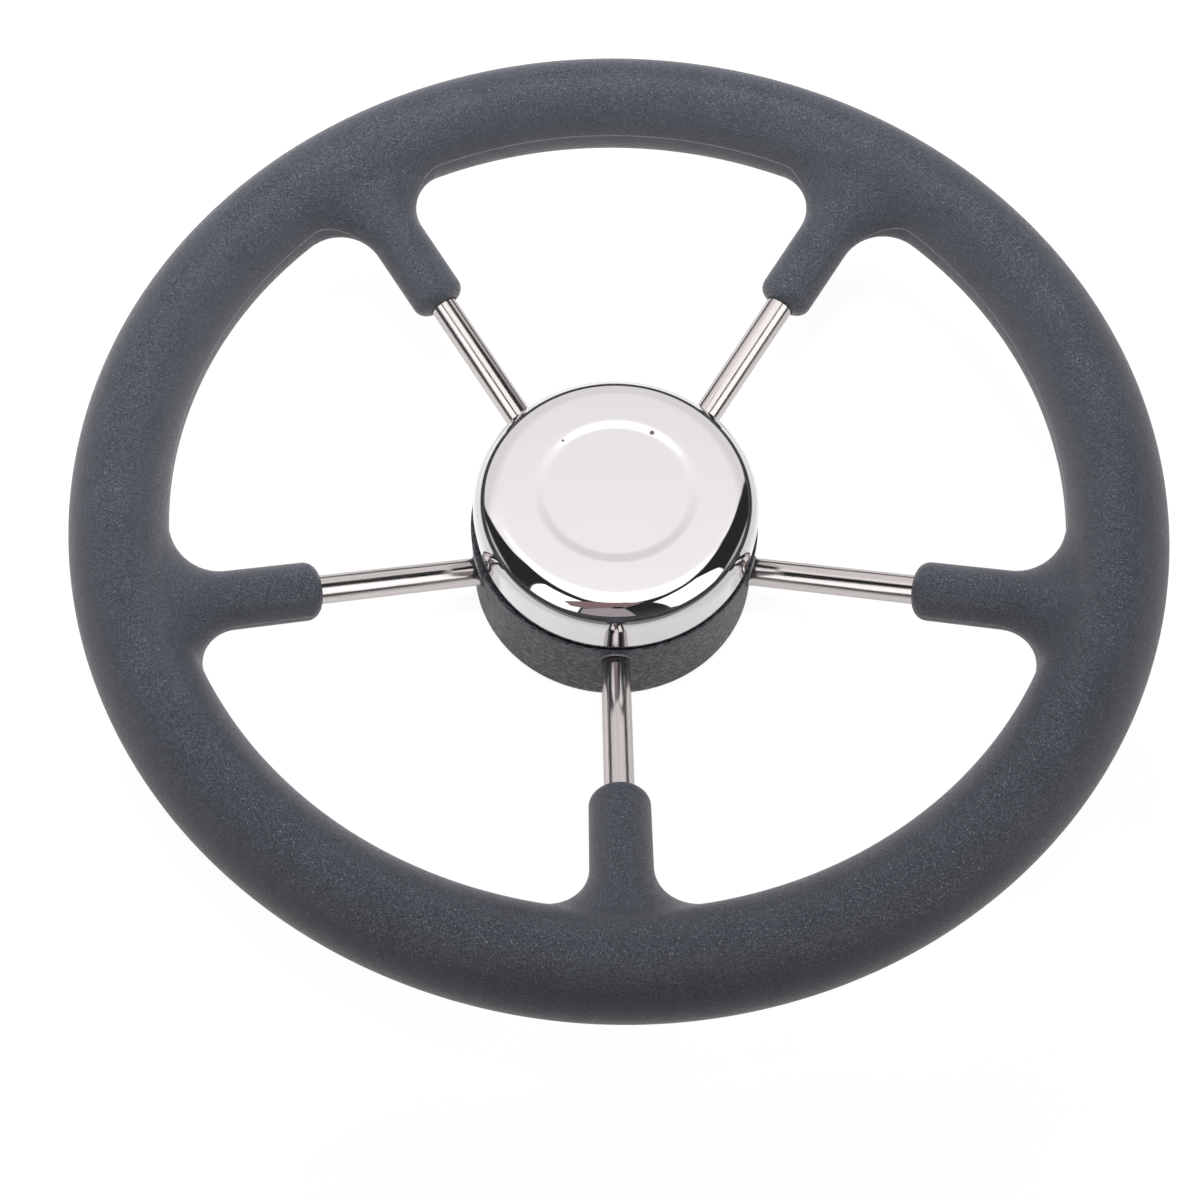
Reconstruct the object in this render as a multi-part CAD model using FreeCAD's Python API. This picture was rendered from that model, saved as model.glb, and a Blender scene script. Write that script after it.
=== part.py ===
import FreeCAD, Part
import math
import os

# Five-spoke boat steering wheel, millimetres. It lies on the back of its hub, so the
# origin is on the shaft axis at the hub's back face and +Z points to the driver.
# The first spoke points along -Y.

Vec = FreeCAD.Vector
AXIS = Vec(0, 0, 1)
ORIGIN = Vec(0, 0, 0)

# Layout of the wheel
spoke_count = 5
first_spoke_angle = -90.0
rim_radius = 159.5          # axis to the centre of the grip's section
dish_angle = 18.85          # slope of the spokes, hub to rim

# Stainless frame
spoke_diameter = 9.5
ring_diameter = 9.5         # bent rod inside the grip, to which the spokes are welded
core_radius = 17.0
core_below = 10.5           # from the back face up to the spokes, at the core's wall
core_above = 12.5           # from the spokes up to the core's top face, the seat of the shaft nut
core_chamfer = 1.0
socket_depth = 4.0          # depth of each spoke's seat in the core, across the shaft

# Bore for a 3/4 in tapered steering shaft, with its key
bore_diameter = 19.05       # at the back face
bore_taper = 12.0           # length over which the diameter falls by 1
key_width = 4.76
key_depth = 2.4             # deeper than the bore's wall at the back face
key_angle = 90.0

# Moulded foam grip: rim and sleeves in one piece
grip_half_width = 15.5      # of the oval section, across the rim
grip_half_depth = 16.6      # of the oval section, along the shaft
sleeve_diameter = 19.0
sleeve_length = 57.7        # centre of the rim's section to the sleeve's free end, in plan
sleeve_nose = 4.5           # rounding of the sleeve's free end
sleeve_blend = 16.5         # hollow rounding from sleeve to rim
seam_radius = 0.9           # bead that the joint of the mould leaves inside the rim
seam_proud = 0.3            # how far the bead stands out of the grip

# Moulded foam boss around the core
boss_back_round = 1.5
seat_cover = 1.5            # foam between the spokes and the face that the cap stands on
rebate_depth = 1.2          # lip down to the face that the cap stands on
rebate_gap = 0.4            # from the cap's wall out to the lip
lip_wall = 0.6              # width of the thin lip around the cap
lip_round = 0.3
spigot_gap = 0.5            # from the cap's wall in to the spigot
spigot_height = 9.0         # above the face that the cap stands on
spigot_chamfer = 0.8
well_radius = 24.0          # room for the shaft nut and its spanner
core_proud = 1.5            # how far the core stands out of the well's floor
collar_wall = 0.6           # moulded collar where a spoke leaves the boss
collar_proud = 0.5          # how far the collar stands out of the boss's wall

# Pressed stainless centre cap
cap_radius = 47.5
cap_height = 22.7
cap_sheet = 0.9
cap_corner = 10.0
recess_radius = 23.9        # flat floor of the shallow round recess
recess_step = 2.8           # width of its soft edge
recess_depth = 0.6

# Rubber ring that grips the cap on the spigot
cap_ring_section = 2.2
cap_ring_lift = 4.6         # from the face that the cap stands on
groove_clearance = 0.3      # to each side of the ring


# Shared geometry

def point(radius, height):
    """A point of a turned profile."""
    return Vec(radius, 0, height)


def line(start, end):
    return Part.LineSegment(start, end).toShape()


def arc(start, middle, end):
    return Part.Arc(start, middle, end).toShape()


def corner(centre, radius, start_angle, end_angle):
    """Round corner of a turned profile, between two angles in degrees."""
    def on_arc(angle):
        turn = math.radians(angle)
        return centre + Vec(radius * math.cos(turn), 0, radius * math.sin(turn))
    return arc(on_arc(start_angle), on_arc((start_angle + end_angle) / 2), on_arc(end_angle))


def outline(points):
    """Straight edges through the points, in order."""
    return [line(a, b) for a, b in zip(points, points[1:])]


def turned(edges):
    """Solid of revolution of a closed profile."""
    face = Part.Face(Part.Wire(edges))
    return face.revolve(ORIGIN, AXIS, 360)


def turned_edges(shape, radius, height):
    """Edges that run round the shaft at a radius and a height."""
    found = []
    for edge in shape.Edges:
        box = edge.BoundBox
        reach = max(abs(box.XMin), box.XMax, abs(box.YMin), box.YMax)
        level = abs(box.ZMin - height) < 1e-3 and abs(box.ZMax - height) < 1e-3
        if level and abs(reach - radius) < 1e-3:
            found.append(edge)
    return found


def edges_between(shape, first, second):
    """Edges between a face of one kind of surface and a face of another kind."""
    found = []
    for edge in shape.Edges:
        kinds = {type(face.Surface) for face in shape.ancestorsOfType(edge, Part.Face)}
        if kinds == {first, second}:
            found.append(edge)
    return found


# Spokes and what follows them

def at_spoke(shape, index):
    """A copy, turned to a spoke, of a shape made along +X."""
    copy = shape.copy()
    copy.rotate(ORIGIN, AXIS, first_spoke_angle + index * 360.0 / spoke_count)
    return copy


def spoke_half_depth():
    """Half a spoke's thickness, measured along the shaft."""
    return spoke_diameter / 2 / math.cos(math.radians(dish_angle))


def spoke_height(radius):
    """Height of a spoke's axis at a distance from the shaft."""
    root_height = core_below + spoke_half_depth()
    return root_height + (radius - core_radius) * math.tan(math.radians(dish_angle))


def spoke_top(radius):
    return spoke_height(radius) + spoke_half_depth()


def rim_height():
    """Height of the centre of the grip's section, which the spokes' axes meet."""
    return spoke_height(rim_radius)


def rod_on_spoke(start_radius, end_radius, diameter):
    """Round rod on a spoke's axis, between two distances from the shaft."""
    start = point(start_radius, spoke_height(start_radius))
    end = point(end_radius, spoke_height(end_radius))
    length = start.distanceToPoint(end)
    return Part.makeCylinder(diameter / 2, length, start, end - start)


def spoke():
    """Straight rod from its seat in the core to its coped end on the ring."""
    rod = rod_on_spoke(core_radius - socket_depth, rim_radius, spoke_diameter)
    return rod.cut(rim_ring())


def all_spokes():
    rod = spoke()
    return Part.makeCompound([at_spoke(rod, i) for i in range(spoke_count)])


# Frame inside the foam

def rim_ring():
    return Part.makeTorus(rim_radius, ring_diameter / 2, Vec(0, 0, rim_height()))


def core_height():
    return spoke_top(core_radius) + core_above


def hub_core():
    """Turned stainless hub with its tapered bore, keyway and five seats."""
    height = core_height()
    bore_radius = bore_diameter / 2
    nose_radius = (bore_diameter - height / bore_taper) / 2
    body = turned(outline([
        point(bore_radius, 0),
        point(core_radius, 0),
        point(core_radius, height - core_chamfer),
        point(core_radius - core_chamfer, height),
        point(nose_radius, height),
        point(bore_radius, 0),
    ]))
    keyway = Part.makeBox(bore_radius + key_depth, key_width, height, Vec(0, -key_width / 2, 0))
    keyway.rotate(ORIGIN, AXIS, key_angle)
    return body.cut(keyway).cut(all_spokes())


# Moulded foam grip

def grip_section():
    """Oval section of the rim."""
    centre = point(rim_radius, rim_height())
    side = centre + Vec(grip_half_width, 0, 0)
    top = centre + Vec(0, 0, grip_half_depth)
    if grip_half_depth >= grip_half_width:
        oval = Part.Ellipse(top, side, centre)
    else:
        oval = Part.Ellipse(side, top, centre)
    return oval.toShape()


def grip_skin():
    """Rim and sleeves, with the hollow blends between them and the rounded free ends."""
    rim = turned([grip_section()])
    sleeve = rod_on_spoke(rim_radius - sleeve_length, rim_radius, sleeve_diameter)
    body = rim.fuse([at_spoke(sleeve, i) for i in range(spoke_count)])
    roots = edges_between(body, Part.Cylinder, Part.SurfaceOfRevolution)
    body = body.makeFillet(sleeve_blend, roots)
    noses = edges_between(body, Part.Cylinder, Part.Plane)
    return body.makeFillet(sleeve_nose, noses)


def seam_bead():
    """Bead around the inside of the rim, which runs out in the blends of the sleeves."""
    bead_radius = rim_radius - grip_half_width - seam_proud + seam_radius
    return Part.makeTorus(bead_radius, seam_radius, Vec(0, 0, rim_height()))


def rim_grip():
    return grip_skin().fuse(seam_bead()).cut(rim_ring()).cut(all_spokes())


# Moulded foam boss, with the seat of the cap

def rebate_radius():
    """Radius of the rebate in which the cap stands."""
    return cap_radius + rebate_gap


def cap_seat():
    """Height of the face that the cap stands on."""
    return spoke_top(rebate_radius()) + seat_cover


def boss_radius():
    return rebate_radius() + lip_wall


def boss_height():
    """Top of the thin lip around the cap."""
    return cap_seat() + rebate_depth


def cap_bore():
    """Radius of the cap's wall on the inside."""
    return cap_radius - cap_sheet


def hub_boss():
    seat = cap_seat()
    wall = boss_radius()
    lip = boss_height()
    spigot_radius = cap_bore() - spigot_gap
    spigot_top = seat + spigot_height
    groove_floor = cap_bore() - cap_ring_section
    groove_middle = seat + cap_ring_lift
    groove_half = cap_ring_section / 2 + groove_clearance
    well_floor = core_height() - core_proud
    body = turned(outline([
        point(core_radius, 0),
        point(wall, 0),
        point(wall, lip),
        point(rebate_radius(), lip),
        point(rebate_radius(), seat),
        point(spigot_radius, seat),
        point(spigot_radius, groove_middle - groove_half),
        point(groove_floor, groove_middle - groove_half),
        point(groove_floor, groove_middle + groove_half),
        point(spigot_radius, groove_middle + groove_half),
        point(spigot_radius, spigot_top - spigot_chamfer),
        point(spigot_radius - spigot_chamfer, spigot_top),
        point(well_radius, spigot_top),
        point(well_radius, well_floor),
        point(core_radius, well_floor),
        point(core_radius, 0),
    ]))
    body = body.makeFillet(boss_back_round, turned_edges(body, wall, 0))
    body = body.makeFillet(lip_round, turned_edges(body, wall, lip))
    return body.fuse(spoke_collars()).cut(all_spokes())


def spoke_collars():
    """Low collars that follow the boss's wall around each spoke."""
    collar_radius = boss_radius() + collar_proud
    collar_diameter = spoke_diameter + 2 * collar_wall
    rod = rod_on_spoke(well_radius, collar_radius + collar_diameter, collar_diameter)
    reach = Part.makeCylinder(collar_radius, boss_height())
    inside = Part.makeCylinder(rebate_radius(), boss_height())
    collar = rod.common(reach.cut(inside))
    return [at_spoke(collar, i) for i in range(spoke_count)]


# Cap and the ring that holds it

def soft_step(start, end):
    """Two arcs that leave both levels of a pressed step without an edge."""
    run = end.x - start.x
    rise = end.z - start.z
    bend = (run * run + rise * rise) / (4 * rise)
    half_turn = math.atan(rise / run)
    shift = Vec(bend * math.sin(half_turn), 0, bend * (1 - math.cos(half_turn)))
    middle = (start + end) / 2
    return [arc(start, start + shift, middle), arc(middle, end - shift, end)]


def cap_surface(drop):
    """Centre to edge of the cap's face, lowered by drop; the wall comes in by as much."""
    top = cap_seat() + cap_height
    floor_edge = point(recess_radius, top - recess_depth - drop)
    step_edge = point(recess_radius + recess_step, top - drop)
    corner_centre = point(cap_radius - cap_corner, top - cap_corner)
    corner_start = point(corner_centre.x, top - drop)
    wall_top = point(cap_radius - drop, corner_centre.z)
    return [
        line(point(0, floor_edge.z), floor_edge),
        *soft_step(floor_edge, step_edge),
        line(step_edge, corner_start),
        corner(corner_centre, cap_corner - drop, 90, 0),
        line(wall_top, point(wall_top.x, cap_seat())),
    ]


def centre_cap():
    """Pressed cup with a shallow round recess in its face."""
    outside = cap_surface(0)
    inside = cap_surface(cap_sheet)
    top = cap_seat() + cap_height - recess_depth
    lower_edge = line(point(cap_radius, cap_seat()), point(cap_bore(), cap_seat()))
    axis_edge = line(point(0, top - cap_sheet), point(0, top))
    return turned(outside + [lower_edge] + inside[::-1] + [axis_edge])


def cap_ring():
    """Rubber ring between the spigot's groove and the cap's wall."""
    ring_radius = cap_bore() - cap_ring_section / 2
    return Part.makeTorus(ring_radius, cap_ring_section / 2, Vec(0, 0, cap_seat() + cap_ring_lift))


def main():
    pieces = {
        "hub_core": hub_core(),
        "rim_ring": rim_ring(),
        "rim_grip": rim_grip(),
        "hub_boss": hub_boss(),
        "centre_cap": centre_cap(),
        "cap_ring": cap_ring(),
    }
    for i in range(spoke_count):
        pieces[f"spoke_{i + 1}"] = at_spoke(spoke(), i)
    os.makedirs("parts", exist_ok=True)
    for name, shape in pieces.items():
        shape.exportStep(f"parts/{name}.step")
        print(name, shape.isValid(), len(shape.Solids), round(shape.Volume), len(shape.Faces))


main()
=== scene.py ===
import math

import bpy
import numpy as np
from mathutils import Matrix, Vector


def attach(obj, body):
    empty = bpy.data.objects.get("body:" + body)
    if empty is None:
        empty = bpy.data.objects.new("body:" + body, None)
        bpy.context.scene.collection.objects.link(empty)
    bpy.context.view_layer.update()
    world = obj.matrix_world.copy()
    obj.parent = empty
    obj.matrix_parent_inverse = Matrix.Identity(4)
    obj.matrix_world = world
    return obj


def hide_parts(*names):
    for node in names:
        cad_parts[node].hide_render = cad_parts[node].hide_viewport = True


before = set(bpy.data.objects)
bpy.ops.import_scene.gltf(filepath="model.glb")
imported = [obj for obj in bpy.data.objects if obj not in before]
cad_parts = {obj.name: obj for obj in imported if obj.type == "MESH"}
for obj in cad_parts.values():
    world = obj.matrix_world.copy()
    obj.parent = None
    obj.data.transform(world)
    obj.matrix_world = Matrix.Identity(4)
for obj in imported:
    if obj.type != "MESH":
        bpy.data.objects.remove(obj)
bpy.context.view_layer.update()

print("frame loaded:", len(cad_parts), "nodes")

# Five-spoke boat wheel. Metres, shaft along +Z, first spoke towards -Y.
wheel = {
    "spokeCount": 5,
    "firstSpoke": -90.0,       # degrees
    "ringRadius": 0.1595,      # shaft to the centre of the grip
    "ringHeight": 0.06417,
    "dish": 18.85,             # degrees, slope of the spokes
}
dishSin = math.sin(math.radians(wheel["dish"]))
dishCos = math.cos(math.radians(wheel["dish"]))
ringCentre = np.array([wheel["ringRadius"], 0, wheel["ringHeight"]])
inward = np.array([-dishCos, 0, -dishSin])       # down a spoke, for a spoke along +X
sideways = np.array([0, 1.0, 0])
upward = np.array([-dishSin, 0, dishCos])


# Camera, at the photograph's place

cameraView = {
    "place": (-0.015678, -0.293935, 0.552366),
    "azimuth": -3.053,         # this and the next four in degrees
    "elevation": 58.911,
    "pan": -1.870,
    "tilt": -1.508,
    "roll": 2.567,
    "lens": 52.93223,
    "sensor": 36.0,
    "shift": (0.036147, -0.067370),
    "clip": (0.01, 20.0),
}


def turnPair(first, second, degrees):
    c, s = math.cos(math.radians(degrees)), math.sin(math.radians(degrees))
    return first * c + second * s, second * c - first * s


def makeCamera(view):
    az, el = math.radians(view["azimuth"]), math.radians(view["elevation"])
    back = Vector((math.sin(az) * math.cos(el), -math.cos(az) * math.cos(el), math.sin(el)))
    right = (-back).cross(Vector((0, 0, 1))).normalized()
    up = right.cross(-back)
    right, back = turnPair(right, back, view["pan"])
    up, back = turnPair(up, back, view["tilt"])
    right, up = turnPair(right, up, view["roll"])
    data = bpy.data.cameras.new("photoView")
    data.lens = view["lens"]
    data.sensor_width = view["sensor"]
    data.shift_x, data.shift_y = view["shift"]
    data.clip_start, data.clip_end = view["clip"]
    camera = bpy.data.objects.new("photoView", data)
    x, y, z = view["place"]
    camera.matrix_world = Matrix((
        (right.x, up.x, back.x, x),
        (right.y, up.y, back.y, y),
        (right.z, up.z, back.z, z),
        (0, 0, 0, 1),
    ))
    bpy.context.scene.collection.objects.link(camera)
    bpy.context.scene.camera = camera


makeCamera(cameraView)
bpy.context.scene.view_settings.view_transform = "Standard"
print("camera placed")


# Node helpers

def feed(tree, slot, value):
    if isinstance(value, bpy.types.NodeSocket):
        tree.links.new(value, slot)
    else:
        slot.default_value = value


def addNode(tree, kind, inputs=None, **settings):
    made = tree.nodes.new(kind)
    for name, value in settings.items():
        setattr(made, name, value)
    for name, value in (inputs or {}).items():
        feed(tree, made.inputs[name], value)
    return made


def calc(tree, operation, *values):
    made = tree.nodes.new("ShaderNodeMath")
    made.operation = operation
    for slot, value in zip(made.inputs, values):
        feed(tree, slot, value)
    return made.outputs[0]


def ramp(tree, value, start, end, low=0.0, high=1.0, shape="SMOOTHSTEP"):
    made = addNode(tree, "ShaderNodeMapRange", {
        "Value": value, "From Min": start, "From Max": end, "To Min": low, "To Max": high,
    }, interpolation_type=shape)
    return made.outputs["Result"]


def blendColour(tree, share, first, second, mode="MIX"):
    made = addNode(tree, "ShaderNodeMix", data_type="RGBA", blend_type=mode)
    feed(tree, made.inputs[0], share)
    feed(tree, made.inputs[6], first)
    feed(tree, made.inputs[7], second)
    return made.outputs[2]


def greyOf(tree, level):
    parts = {"Red": level, "Green": level, "Blue": level}
    return addNode(tree, "ShaderNodeCombineColor", parts).outputs[0]


def peak(tree, value, middle, half, most=1.0, flat=0.0):
    # most around the middle, and none at half away from it
    apart = calc(tree, "ABSOLUTE", calc(tree, "SUBTRACT", value, middle))
    return ramp(tree, apart, flat, half, most, 0.0)


def distanceTo(tree, first, second):
    ends = {0: first, 1: second}
    return addNode(tree, "ShaderNodeVectorMath", ends, operation="DISTANCE").outputs["Value"]


def hypot(tree, first, second):
    squares = [calc(tree, "MULTIPLY", value, value) for value in (first, second)]
    return calc(tree, "SQRT", calc(tree, "ADD", *squares))


def newGroup(name, inputs, outputs):
    group = bpy.data.node_groups.new(name, "ShaderNodeTree")
    for label, kind, value in inputs:
        made = group.interface.new_socket(label, in_out="INPUT", socket_type=kind)
        if value is not None:
            made.default_value = value
    for label, kind in outputs:
        group.interface.new_socket(label, in_out="OUTPUT", socket_type=kind)
    given = group.nodes.new("NodeGroupInput").outputs
    result = group.nodes.new("NodeGroupOutput").inputs
    return group, given, result


def useGroup(tree, group, inputs):
    made = tree.nodes.new("ShaderNodeGroup")
    made.node_tree = group
    for name, value in inputs.items():
        feed(tree, made.inputs[name], value)
    return made.outputs


def newMaterial(name):
    material = bpy.data.materials.new(name)
    material.use_nodes = True
    return material, material.node_tree, material.node_tree.nodes["Principled BSDF"]


def setRoughness(tree, shader, pattern, spread, least, most):
    roughness = ramp(tree, pattern, *spread, least, most, "LINEAR")
    tree.links.new(roughness, shader.inputs["Roughness"])


def addBump(tree, shader, height):
    bump = addNode(tree, "ShaderNodeBump", {"Height": height, "Strength": 1.0, "Distance": 1.0})
    tree.links.new(bump.outputs[0], shader.inputs["Normal"])


# Mesh helpers

def newPiece(name, points, faces):
    mesh = bpy.data.meshes.new(name)
    mesh.from_pydata([tuple(p) for p in points], [], faces)
    piece = bpy.data.objects.new(name, mesh)
    bpy.context.scene.collection.objects.link(piece)
    return piece


def giveMaterial(piece, material):
    piece.data.materials.clear()
    piece.data.materials.append(material)


def smooth(piece):
    piece.data.polygons.foreach_set("use_smooth", [True] * len(piece.data.polygons))
    piece.data.update()


# Studio: boards around the wheel, seen only in its reflections and its light.
# Corners are (over, side) in degrees: over runs from the horizon behind the wheel over its
# top to the camera's side, and side is to the right of that arc.

studio = {
    "room": (0.030, 0.030, 0.032),
    "roomFront": (0.075, 0.072, 0.072),
    "roomTurns": (130, 165),   # degrees over, where the room takes its front light
    "boards": {                # soft is the width of the edge, in degrees
        "backdrop": {"soft": 2.5, "light": (0.97, 0.94, 0.94), "upper": (1.30, 1.26, 1.26),
            "corners": [
                (12, 0), (14, -30), (20, -48), (34, -61), (50, -58), (70, -44), (80, -28),
                (81, -18), (74, 17), (52, 38), (33, 52), (20, 46), (14, 28)]},
        "softbox": {"soft": 3.0, "light": (1.60, 1.57, 1.57), "corners": [
            (66, 0), (68, -24), (95, -16.5), (106, -11), (110, -3), (109, 8), (102, 17),
            (92, 22), (80, 21.5), (69, 18)]},
        "rightLamp": {"soft": 1.0, "light": (1.75, 1.75, 1.75), "corners": [
            (91, 29), (118, 17), (156, 33), (163, 40), (160, 58), (122, 68), (104, 52)]},
        "leftLamp": {"soft": 1.0, "light": (1.75, 1.75, 1.75), "corners": [
            (102, -27), (118, -12), (161, -23), (164, -40), (160, -55), (122, -43)]},
        "warmBar": {"soft": 0.8, "light": (0.30, 0.20, 0.21), "corners": [
            (106, 4), (112, 12), (128, 3), (143, -25), (132, -27), (108, -6)]},
        "greyCard": {"soft": 1.0, "light": (0.46, 0.40, 0.43), "corners": [
            (126, 4), (158, 12), (161, -21), (142, -18), (128, -5)]},
        "darkCard": {"soft": 0.8, "light": (0.012, 0.012, 0.014), "corners": [
            (122, 4), (128, 4), (128, -1), (122, -1)]},
    },
    "brighten": (46, 68),      # degrees over, where the backdrop takes its upper light
    "screens": (66, 72),       # degrees to either side, where the steel starts to show pale screens
    "screenLight": (0.62, 0.61, 0.61),
}


def towards(over, side):
    over, side = math.radians(over), math.radians(side)
    ahead = math.cos(side)
    return Vector((math.sin(side), ahead * math.cos(over), ahead * math.sin(over)))


def edgeGroup():
    group, given, result = newGroup("boardEdge", [
        ("Direction", "NodeSocketVector", None), ("Edge", "NodeSocketVector", None),
        ("Inside So Far", "NodeSocketFloat", 1.0),
    ], [("Inside", "NodeSocketFloat")])
    ends = {0: given["Direction"], 1: given["Edge"]}
    reach = addNode(group, "ShaderNodeVectorMath", ends, operation="DOT_PRODUCT").outputs["Value"]
    group.links.new(calc(group, "MINIMUM", reach, given["Inside So Far"]), result["Inside"])
    return group


def makeWorld(setup):
    world = bpy.data.worlds.new("studio")
    bpy.context.scene.world = world
    world.use_nodes = True
    world.cycles.sampling_method = "NONE"    # bounces alone find the boards, at half the time
    tree = world.node_tree
    tree.nodes.clear()
    direction = addNode(tree, "ShaderNodeTexCoord").outputs["Generated"]
    split = addNode(tree, "ShaderNodeSeparateXYZ", {"Vector": direction}).outputs
    over = calc(tree, "DEGREES", calc(tree, "ARCTAN2", split["Z"], split["Y"]))
    front = ramp(tree, over, *setup["roomTurns"])
    colour = blendColour(tree, front, (*setup["room"], 1), (*setup["roomFront"], 1))
    path = addNode(tree, "ShaderNodeLightPath").outputs
    sideStart, sideEnd = [math.sin(math.radians(angle)) for angle in setup["screens"]]
    aside = ramp(tree, calc(tree, "ABSOLUTE", split["X"]), sideStart, sideEnd)
    shown = calc(tree, "MULTIPLY", aside, path["Is Glossy Ray"])
    colour = blendColour(tree, shown, colour, (*setup["screenLight"], 1))
    edge = edgeGroup()
    for board in setup["boards"].values():
        corners = [towards(*corner) for corner in board["corners"]]
        middle = sum(corners, Vector()).normalized()
        inside = 1.0
        for first, second in zip(corners, corners[1:] + corners[:1]):
            normal = first.cross(second).normalized()
            if normal.dot(middle) < 0:
                normal.negate()
            given = {"Direction": direction, "Edge": normal, "Inside So Far": inside}
            inside = useGroup(tree, edge, given)["Inside"]
        half = math.radians(board["soft"]) / 2
        light = (*board["light"], 1)
        if "upper" in board:
            above = ramp(tree, over, *setup["brighten"])
            light = blendColour(tree, above, light, (*board["upper"], 1))
        colour = blendColour(tree, ramp(tree, inside, -half, half), colour, light)
    seen = addNode(tree, "ShaderNodeBackground", {"Color": (1, 1, 1, 1), "Strength": 1.0})
    boards = addNode(tree, "ShaderNodeBackground", {"Color": colour, "Strength": 1.0})
    pick = addNode(tree, "ShaderNodeMixShader")
    tree.links.new(path["Is Camera Ray"], pick.inputs[0])
    tree.links.new(boards.outputs[0], pick.inputs[1])
    tree.links.new(seen.outputs[0], pick.inputs[2])
    end = addNode(tree, "ShaderNodeOutputWorld")
    tree.links.new(pick.outputs[0], end.inputs["Surface"])


makeWorld(studio)


# Floor

floor = {
    "half": 3.0,               # half of its side
    "drop": 0.0001,
    "colour": (0.86, 0.86, 0.86),
    "roughness": 0.9,
    "gloss": 0.1,
    "glow": 0.50,              # share of its own light that the wheel gets
    "glowSeen": 0.88,          # the same share, straight to the camera
    "edge": (-0.28, -0.18),    # along Y, where the floor darkens for all but the camera: painted shade on its colour and glow
    "front": 0.25,             # level in front of that edge
    "back": 0.8,               # level behind it
}


def makeFloor(setup):
    half, low = setup["half"], -setup["drop"]
    corners = [(-half, -half, low), (half, -half, low), (half, half, low), (-half, half, low)]
    piece = newPiece("floor", corners, [(0, 1, 2, 3)])
    material, tree, shader = newMaterial("paleFloor")
    shader.inputs["Roughness"].default_value = setup["roughness"]
    shader.inputs["Specular IOR Level"].default_value = setup["gloss"]
    seen = addNode(tree, "ShaderNodeLightPath").outputs["Is Camera Ray"]
    place = addNode(tree, "ShaderNodeTexCoord").outputs["Object"]
    ahead = addNode(tree, "ShaderNodeSeparateXYZ", {"Vector": place}).outputs["Y"]
    # painted shade: in front, the floor's colour and glow drop for every ray but the camera's
    reach = ramp(tree, ahead, *setup["edge"], setup["front"], setup["back"])
    grey = greyOf(tree, calc(tree, "MAXIMUM", reach, seen))
    base = blendColour(tree, 1.0, grey, (*setup["colour"], 1), "MULTIPLY")
    tree.links.new(base, shader.inputs["Base Color"])
    glow = addNode(tree, "ShaderNodeEmission", {"Color": grey})
    share = ramp(tree, seen, 0.0, 1.0, setup["glow"], setup["glowSeen"], "LINEAR")
    mix = addNode(tree, "ShaderNodeMixShader")
    tree.links.new(share, mix.inputs[0])
    tree.links.new(shader.outputs[0], mix.inputs[1])
    tree.links.new(glow.outputs[0], mix.inputs[2])
    tree.links.new(mix.outputs[0], tree.nodes["Material Output"].inputs["Surface"])
    giveMaterial(piece, material)


makeFloor(floor)


# Lamps: soft squares that face the hub, and one wide spot for the far side

lampAim = (0, 0, 0.03)
lamps = {
    "lowSoft": {"place": (0.0, 0.2, 0.35), "size": 0.3, "power": 1.2},
    "frontLeft": {"place": (-0.6, -0.5, 0.7), "size": 0.5, "power": 1.0},
    "frontRight": {"place": (0.6, -0.5, 0.7), "size": 0.5, "power": 1.8},
    "backLeft": {"place": (-0.45, 0.35, 0.5), "size": 0.4, "power": 2.0},
    "backRight": {"place": (0.45, 0.35, 0.5), "size": 0.4, "power": 1.2},
    "farSpot": {
        "place": (-0.02, -0.1, 0.9),
        "aim": (-0.05, 0.13, 0.06),
        "cone": 42.0,          # degrees
        "size": 0.08,
        "power": 34.0,
    },
}


def makeLamps(setups):
    for name, setup in setups.items():
        data = bpy.data.lights.new(name, "SPOT" if "cone" in setup else "AREA")
        data.energy = setup["power"]
        if "cone" in setup:
            data.spot_size = math.radians(setup["cone"])
            data.spot_blend = 1.0
            data.shadow_soft_size = setup["size"]
        else:
            data.size = setup["size"]
        lamp = bpy.data.objects.new(name, data)
        lamp.location = setup["place"]
        aim = Vector(setup.get("aim", lampAim)) - Vector(setup["place"])
        lamp.rotation_euler = aim.to_track_quat("-Z", "Y").to_euler()
        lamp.visible_glossy = False
        lamp.visible_camera = False
        bpy.context.scene.collection.objects.link(lamp)


makeLamps(lamps)
print("studio lit")


# Leather grain, shared by the grip and the boss; its masks carry painted highlight and shade

grainPattern = {
    "bendScale": 0.8,          # noise that bends the net, in cells
    "bendReach": 3.0,
    "breakScale": 1.7,         # noise that breaks the ridges
    "breakSpread": (0.36, 0.54),
    "breakLeft": 0.2,          # what is left of a ridge there
    "foldScale": 1.25,
    "foldShift": (7.3, 2.1, 5.7),
    "foldDepth": 0.6,          # against a ridge's height
    "mottleScale": 60.0,       # per metre
    "mottleSpread": (0.3, 0.7),    # the usual range of a noise
}


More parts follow.
